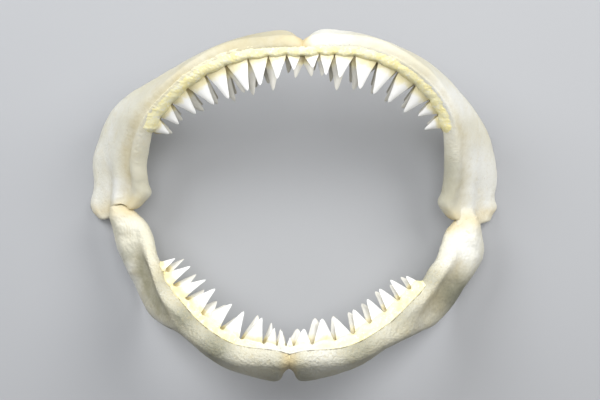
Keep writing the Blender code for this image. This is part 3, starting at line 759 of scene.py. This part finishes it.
# teeth, from the symphysis backwards; sizes in mm, leans in degrees towards the symphysis
teeth = {
    "upperLeft": {  # front: width, height, lean; behind: place, height, lean
        "front": ((13, 14, 12), (17, 22.5, 0), (18.5, 27, 2), (21, 30, 8), (20.5, 30.5, 0),
                  (21, 28.5, 2), (20.5, 24.5, -4), (17.5, 18.5, -12), (17, 14.5, -10)),
        "second": ((2, 18.5, 0), (27, 30.5, 0), (50, 33, 0), (63, 29, 0), (79, 34, 0),
                   (100, 29, 0), (119, 27, 0), (140, 17.5, -4), (159, 15, -6)),
        "third": ((10, 18, 0), (33, 28, 0), (47, 31, 0), (62, 29, 0), (77, 34, 0),
                  (99, 31, 0), (117, 27, 0), (138, 17, 0), (157, 13, 0)),
    },
    "upperRight": {
        "front": ((14.5, 13, 2), (14, 20, 0), (19, 22, 7), (23, 29.5, -4), (21.5, 29, 0),
                  (22, 29, -2), (21.5, 26.5, -7), (16, 18, 4), (14, 17.5, -6)),
        "second": ((5, 18, 0), (19, 18.5, 0), (35, 31.5, 0), (57, 30, 0), (83, 28.5, 0),
                   (105, 29.5, 0), (126, 24, 0), (143, 14.5, 0), (158, 11.5, 0)),
        "third": ((8, 16, 0), (29, 28, 0), (52, 28, 0), (64, 26, 0), (80, 26, 0),
                  (102, 27, 0), (123, 22, 0), (142, 15, 0), (157, 11, 0)),
    },
    "lowerLeft": {
        "front": ((8.5, 15.5, 0), (12.5, 18, 6), (22.5, 26, 14), (22, 28, 6), (23.5, 28, 15),
                  (22.5, 29, 12), (18, 29, 24), (16, 25, 16), (11, 14.5, 6)),
        "second": ((6, 14.5, 0), (17, 19.5, 0), (34, 25, 4), (58, 17.5, 0), (78, 21, 4),
                   (88, 18.5, 4), (105, 18.5, 0), (124, 22.5, 4), (145, 20, 0)),
        "third": ((3, 12, 0), (14, 15, 0), (32, 20, 0), (55, 18, 0), (76, 18, 0),
                  (100, 17, 0), (119, 17, 0), (138, 14, 0), (151, 10, 0)),
    },
    "lowerRight": {
        "front": ((17.5, 17.5, -4), (22, 25, 2), (18.5, 24, 12), (18.5, 23, -2), (17.5, 23.5, -2),
                  (17.5, 24, 0), (15.5, 23.5, 4), (12, 14.5, 0)),
        "second": ((3, 15, 0), (22, 23.5, 0), (43, 23, 0), (64, 20.5, 0), (81, 20.5, 0),
                   (100, 22, 0), (116, 17.5, 0), (130, 15.5, 0)),
        "third": ((9, 13, 0), (29, 18, 0), (49, 18, 0), (67, 18, 0), (85, 18, 0),
                  (103, 17, 0), (119, 15, 0), (133, 11, 0)),
    },
}
toothForm = {
    # root: its direction above the level, height over the bar; tilt of the crown, size, painted shade on the
    # row
    "rows": ((12, 1.9, 8, 1, 0), (-14, 4, -3, 1, 0.6), (-42, 4.8, -21, 0.98, 0.85),
             (-70, 4.4, -54, 0.93, 0.9), (-97, 3.2, -88, 0.88, 0.95)),
    "first": 0.3,  # where the first tooth begins, mm from the symphysis
    "room": 0.97,  # of its width that each tooth fills
    "rootDepth": 3,
    "around": 24,
    # outline of a crown: its half width at these heights, both as shares
    "heights": (0, 0.15, 0.3, 0.5, 0.7, 0.85, 0.94, 1),
    "upper": {"halves": (1.04, 0.93, 0.78, 0.57, 0.39, 0.26, 0.17, 0.03),
              "skew": 0.06, "thickness": 0.23, "serration": 0.3, "pitch": 1.1},
    "lowerLeft": {"halves": (1, 0.88, 0.75, 0.56, 0.37, 0.23, 0.15, 0.03),
                  "skew": 0, "thickness": 0.26, "serration": 0, "pitch": 1.6},
    "lowerRight": {"halves": (1.02, 0.91, 0.78, 0.61, 0.43, 0.29, 0.19, 0.03),
                   "skew": 0, "thickness": 0.26, "serration": 0, "pitch": 1.6},
    "median": (7, 9.5, 0),  # the small middle tooth: width, height, lean
}


def toothPoints(width, height, lean, form):
    # labial face on +y, tip up +z, the side away from the symphysis on -x
    up = np.concatenate([np.array([-1, -0.4]) * toothForm["rootDepth"] / height,
                         np.linspace(0, 1, int(height / form["pitch"] * 2) + 4)])
    shown = np.clip(up, 0, 1)
    half = np.interp(shown, toothForm["heights"], form["halves"])
    half[1:-1] = (half[:-2] + 2 * half[1:-1] + half[2:]) / 4
    half[up < 0] = (0.86, 0.98)
    around = np.linspace(0, 2 * math.pi, toothForm["around"], endpoint=False)
    u = np.sign(np.cos(around)) * abs(np.cos(around)) ** 0.9
    far = 1 - form["skew"] * np.sin(shown * math.pi)
    across = np.where(u < 0, np.outer(half * far, u), np.outer(half * (2 - far), u)) * width / 2
    wave = np.where(np.arange(len(up)) % 2, 1, -1) * form["serration"] / 2
    wave *= smooth(0.04, 0.12, up) * (1 - smooth(0.93, 0.99, up))
    across += np.outer(wave, np.where(abs(u) > 0.99, np.sign(u), 0))
    thick = width * form["thickness"] * (1 - 0.42 * shown) * np.minimum(1, half * 2.6 + 0.02)
    thick[up < 0] *= (1.15, 1.2)
    face = np.where(np.sin(around) > 0, 0.4, 0.6) * np.sign(np.sin(around)) * (1 - abs(u) ** 1.9)
    shear = height * math.tan(math.radians(lean)) * np.maximum(up, 0) ** 1.12
    bow = -0.05 * height * np.maximum(up, 0) ** 2
    points = np.stack([across + shear[:, None], np.outer(thick, face) + bow[:, None],
                       np.outer(up * height, np.ones(len(around)))], axis=2)
    return points, np.outer(up, np.ones(len(around)))


def placedTooth(arch, place, row, width, height, lean, kind, middle=False):
    direction, rise, tilt, size, age = row
    cut = arch.sections(place)
    outward, upward = np.array([*cut["outward"][0], 0]), np.array([0, 0, 1])
    turn, tilt, radius = math.radians(direction), math.radians(tilt), cut["bar"][0] + rise
    foot = cut["inner"][0] + outward * (cut["centre"][0, 0] - radius * math.cos(turn))
    foot = foot + upward * (cut["centre"][0, 1] + radius * math.sin(turn))
    near = arch.at(np.array([max(place - 0.05, 0), min(place + 0.05, arch.last)]))[:, 0:3]
    along = (near[1] - near[0]) / np.linalg.norm(near[1] - near[0])
    if middle:
        foot, along = foot * (0, 1, 1), np.array([1, 0, 0])
    crown = upward * math.sin(tilt) - outward * math.cos(tilt)
    crown -= along * crown.dot(along)
    crown /= np.linalg.norm(crown)
    face = np.cross(along, crown)
    face *= np.sign(face.dot(upward * math.cos(tilt) + outward * math.sin(tilt)))
    points, up = toothPoints(width * size, height * size, lean, toothForm[kind])
    placed = foot - points[..., 0:1] * along + points[..., 1:2] * face + points[..., 2:3] * crown
    return meshFrom(rolledGrid(placed, height=up, age=np.full(up.shape, age)), "tooth")


def toothRows(arch, files, kind, seed):
    random = np.random.default_rng(seed)
    made, start = [], toothForm["first"]
    for (width, height, lean), second, third in zip(files["front"], files["second"], files["third"]):
        middle = start + width / 2
        forms = [(middle, height, lean), second, third]
        while len(forms) < len(toothForm["rows"]):
            forms.append((middle + random.uniform(-2, 2), third[1] * 0.95, random.uniform(-4, 4)))
        for row, (distance, tall, slant) in zip(toothForm["rows"], forms):
            place = float(np.interp(max(distance, 1), arch.toothRun, arch.fine))
            made.append(placedTooth(arch, place, row, width * toothForm["room"], tall, slant, kind))
        start += width
    return made


for side, seed in seeds.items():
    for jaw, arch in arches.items():
        half = jaw + side.title()
        kind = "upper" if jaw == "upper" else half
        made = toothRows(arch, teeth[half], kind, seed)
        if kind == "lowerLeft":
            made.append(placedTooth(arch, 0, toothForm["rows"][0], *toothForm["median"], kind, middle=True))
        settle(together(*made), side, jaw + "Teeth", enamel, "gum_and_teeth")
print("teeth ready")

# gums
gumMake = {
    "rings": 340,
    "around": 30,
    "turned": 0.72,  # share of the band that goes round the bar
    "lingual": 0.5,  # how far the rest reaches over the lingual face
    "depth": 2.4,  # of the band into the bar, mm
    # lumps: size along the jaw in mm, turns across the band, offset, height
    "lumpForms": ((4.5, 7, 0, 0.5), (2, 16, 3, 0.45), (1.1, 30, 6, 0.2)),
    # thick: over the teeth; edge: at the labial border; shelf: more of it round the feet of the front teeth;
    # crease: strength of the painted shade along the labial border
    "upper": {"start": -0.075, "thick": 3.3, "edge": -0.5, "shelf": 1, "shelfAt": 34, "feather": 0.4,
              "ragged": 7, "crease": 0, "lumps": 0.65, "border": 0.09, "mound": 2.6, "bare": 0.1,
              "pale": (0, 1, 0.1)},
    "lower": {"start": -0.22, "thick": 4.2, "edge": 0.7, "shelf": 2.4, "shelfAt": 20, "feather": 0.28,
              "ragged": 2.5, "crease": 0.9, "lumps": 0.6, "border": 0, "mound": 3.4, "bare": 0.45,
              "pale": (0.9, 2.2, 0.9)},
}


def toothPhase(files, distance):
    # 0 between two teeth, 1 at the middle of one
    edges = toothForm["first"] + np.concatenate([[0], np.cumsum([tooth[0] for tooth in files["front"]])])
    tooth = np.clip(np.searchsorted(edges, distance) - 1, 0, len(edges) - 2)
    share = (distance - edges[tooth]) / (edges[tooth + 1] - edges[tooth])
    return np.where(distance < edges[-1], np.sin(np.clip(share, 0, 1) * math.pi), 0)


def gumPaint(form, place, phase, rise, degrees, share, ragged, lumps):
    # cleft: painted shade in the clefts between the teeth and round the far lingual side of the gum
    cleft = (1 - smooth(0.1, 0.4, phase))[:, None] * hump(rise, -12, 14)
    cleft = np.maximum(cleft, 0.45 * smooth(-62, -85, degrees))
    low, high, strength = form["pale"]
    pale = strength * (1 - smooth(low, high, place))[:, None]
    bare = form["bare"] * smooth(0.3, 0.9, phase)[:, None] * smooth(0.1, 0.3, share)
    # crease: painted shade, a ragged dark line along the gum's labial edge
    crease = form["crease"] * (share < 0.01) * (0.35 + 0.65 * smooth(-0.4, 0.4, ragged))[:, None]
    border = 1 - smooth(form["border"] - 0.1, form["border"] + 0.1, share + 0.08 * lumps)
    return {"cleft": cleft, "pale": np.maximum(pale, bare), "crease": np.clip(crease, 0, 1),
            "border": border * (form["border"] > 0)}


def gumMesh(arch, jaw, side, seed):
    make, form, own = gumMake, gumMake[jaw], arch.jaw[side]
    last = own["gumEnd"]
    cut = arch.sections(np.linspace(form["start"], last + 0.12, make["rings"]))
    place, bar, rim = cut["place"], cut["bar"], cut["rim"]
    distance = np.interp(place, arch.fine, arch.toothRun)
    ragged = np.array([noise.noise(Vector((d / 7 + seed, 0, 0)))
                       + 0.6 * noise.noise(Vector((d / 2.2 + seed, 5, 0))) for d in distance])
    start = np.interp(place, *np.array(own["gumStart"]).T) + form["ragged"] * ragged
    share = np.linspace(0, 1, make["around"])
    degrees = start[:, None] + (-90 - start)[:, None] * np.clip(share / make["turned"], 0, 1)
    turns = np.radians(degrees)
    level = np.degrees(np.arctan2(-cut["blade"][:, 1], cut["blade"][:, 0]))
    rise = level[:, None] + degrees  # above the level
    phase = toothPhase(teeth[jaw + side.title()], distance)
    feather = smooth(0, form["feather"], share) * (1 - smooth(0.9, 1, share))
    lumps = np.zeros((len(distance), len(share)))
    for size, turned, offset, height in make["lumpForms"]:
        lumps += [[height * noise.noise(Vector((d / size + seed, a * turned, offset))) for a in share]
                  for d in distance]
    thick = form["edge"] + (form["thick"] - form["edge"]) * feather
    shelf = form["shelf"] * hump(rise, form["shelfAt"], 18) * smooth(0, 0.25, share)
    shelf = shelf * (0.45 + 0.55 * smooth(0.5, 2, place))[:, None]
    thick = thick + shelf + form["mound"] * hump(rise, 8, 24) * (phase[:, None] - 0.6) * feather
    ends = 1 - smooth(0, 0.2, last + 0.08 - place)[:, None]
    thick = thick * (1 - ends) - 1.2 * ends + lumps * form["lumps"]
    thick = np.maximum(thick, -1.6)
    past = np.clip((share - make["turned"]) / (1 - make["turned"]), 0, 1) * make["lingual"]
    taper = rim[:, None] + (bar - rim)[:, None] * (1 - past) ** section["lingualTaper"]
    radius = np.where(past > 0, taper, bar[:, None])
    base = cut["centre"][:, None] + cut["blade"][:, None] * (cut["length"][:, None] * past)[..., None]
    over = base + radial(cut, turns) * (radius + thick)[..., None]
    below = base + radial(cut, turns) * (radius - make["depth"])[..., None]
    layers = gumPaint(form, place, phase, rise, degrees, share, ragged, lumps)
    return sheet(arch.inSpace(cut, over), arch.inSpace(cut, below), layers, "gum")


for side, seed in seeds.items():
    for jaw, arch in arches.items():
        gum = gumMesh(arch, jaw, side, seed)
        settle(gum, side, jaw + "Gum", gumTissue, "gum_and_teeth", jaw + "_gum_" + side)
print("gums ready")

# pads between the halves, and the ligaments over the joints
padMake = {"upper": {"half": 2.2, "recess": 1.9}, "lower": {"half": 4, "recess": 1.4}, "rings": 15}
for jaw, arch in arches.items():
    pad = padMake[jaw]
    across = np.linspace(-1, 1, padMake["rings"])
    cut = arch.sections(np.zeros(padMake["rings"]))
    rings = arch.inSpace(cut, outlines(cut, np.full(len(across), -pad["recess"])))
    rings[..., 0] = (across * pad["half"])[:, None]
    rough = [[0.35 * noise.noise(Vector(point) / 3) for point in ring] for ring in rings]
    rings[..., 1:3] += np.array(rough)[..., None]
    settle(meshFrom(rolledGrid(rings), "pad"), "", jaw + "Pad", padTissue, "symphysis_pad", jaw + "_symphysis")

ligamentMake = {
    "rings": 34,
    "around": 30,
    "depth": 2.5,  # into the bones, mm
    # middle and radii in the frame, thickness and side that it lies on, rounds of easing
    "right": {"middle": (175.5, -9), "radii": (11.5, 17), "thick": 1.6, "face": 1, "eased": 60},
    "left": {"middle": (-171, -11), "radii": (8.5, 13), "thick": 2, "face": -1, "eased": 12},
    "above": 400,  # where the search for bones starts
}


def drapedPatch(make, bones):
    # an oval laid over the bones from above or from below
    rings, count, face = ligamentMake["rings"], ligamentMake["around"], make["face"]
    v = np.sin(np.linspace(-0.49, 0.49, rings) * math.pi)[:, None]
    u = np.linspace(-1, 1, count)
    wide = np.sqrt(1 - v**2)
    x = make["middle"][0] + make["radii"][0] * wide * u
    y = make["middle"][1] + make["radii"][1] * v * np.ones(count)
    level = np.full(x.shape, np.nan)
    for i, j in np.ndindex(level.shape):
        start = Vector((x[i, j], y[i, j], ligamentMake["above"] * face)) * mm
        hits = [bone.ray_cast(start, Vector((0, 0, -face)))[0] for bone in bones]
        heights = [hit.z / mm for hit in hits if hit]
        if heights:
            level[i, j] = face * max(face * height for height in heights)
    level = np.where(np.isnan(level), face * np.nanmin(face * level), level)
    bare = level
    for _ in range(make["eased"]):
        padded = np.pad(level, 1, mode="edge")
        beside = padded[:-2, 1:-1] + padded[2:, 1:-1] + padded[1:-1, :-2] + padded[1:-1, 2:]
        level = (beside + 2 * level) / 6
    rough = [[noise.noise(Vector((a / 4, b / 9, 7))) for a, b in zip(*row)] for row in zip(x, y)]
    dome = np.sqrt(np.maximum(0, 1 - v**2 - (wide * u) ** 2))
    level = bare + (level - bare) * smooth(0.1, 0.75, dome)
    over = level + face * (make["thick"] * (1 + 0.25 * np.array(rough)) * dome**4 - 0.12)
    under = level - face * ligamentMake["depth"]
    over, under = (np.stack([x, y, face], axis=2) * mm for face in (over, under))
    layers = {"joint": 0.6 * hump(y, hinge[1] + 1, 8) * dome, "warm": 0.2 * dome,
              "pale": 0.6 - 0.4 * dome, "wear": np.full(dome.shape, 0.25)}
    return sheet(over, under, layers, "patch")


for side in seeds:
    graph = bpy.context.evaluated_depsgraph_get()
    bones = [BVHTree.FromObject(bpy.data.objects[jaw + "Cartilage" + side.title()], graph) for jaw in arches]
    finished(drapedPatch(ligamentMake[side], bones), "ligament" + side.title(), fibre, "ligament",
             "hinge_ligament_" + side)
print("pads and ligaments ready")

# camera: middle of the view in mm from the hinge line, height in m, focal length and width of the picture
# in pixels, roll in degrees
cameraPlace = {"middle": (3.87, 14.67), "height": 1.5, "focal": 1445, "width": 600, "roll": 1.9}
camera = bpy.data.cameras.new("camera")
camera.sensor_width = 36
camera.lens = camera.sensor_width * cameraPlace["focal"] / cameraPlace["width"]
view = added("camera", camera)
view.location = [(cameraPlace["middle"][i] + hinge[i]) * mm for i in (0, 1)] + [cameraPlace["height"]]
view.rotation_euler = (0, 0, math.radians(cameraPlace["roll"]))
bpy.context.scene.camera = view

studio = {"size": 3, "floor": {"Base_Color": (0.42, 0.43, 0.45, 1), "Roughness": 0.85}, "ambient": 0.12}
shape = bmesh.new()
bmesh.ops.create_grid(shape, x_segments=1, y_segments=1, size=studio["size"])
floor = added("floor", meshFrom(shape, "floor"))
floor.data.materials.append(newMaterial("floor", **studio["floor"]))

lights = {  # place in m, size, power, colour
    "right": ((1, 0.8, 1.15), 0.9, 19, (1, 0.99, 0.97)),
    "left": ((-1, 0.8, 1.15), 0.9, 17.5, (0.98, 0.99, 1)),
    "front": ((0, 0.35, 2), 1, 19, (1, 1, 1)),
}
for name, (place, size, power, colour) in lights.items():
    lamp = bpy.data.lights.new(name, "AREA")
    lamp.energy, lamp.size, lamp.color = power, size, colour
    holder = added(name, lamp)
    holder.location = place
    holder.rotation_euler = (Vector((0, 0, 0.05)) - holder.location).to_track_quat("-Z", "Y").to_euler()
bpy.context.scene.view_settings.view_transform = "Standard"
world = bpy.data.worlds.new("studio")
world.use_nodes = True
background = world.node_tree.nodes["Background"]
background.inputs["Color"].default_value = (1, 1, 1, 1)
background.inputs["Strength"].default_value = studio["ambient"]
bpy.context.scene.world = world
print("camera, floor and lights ready")
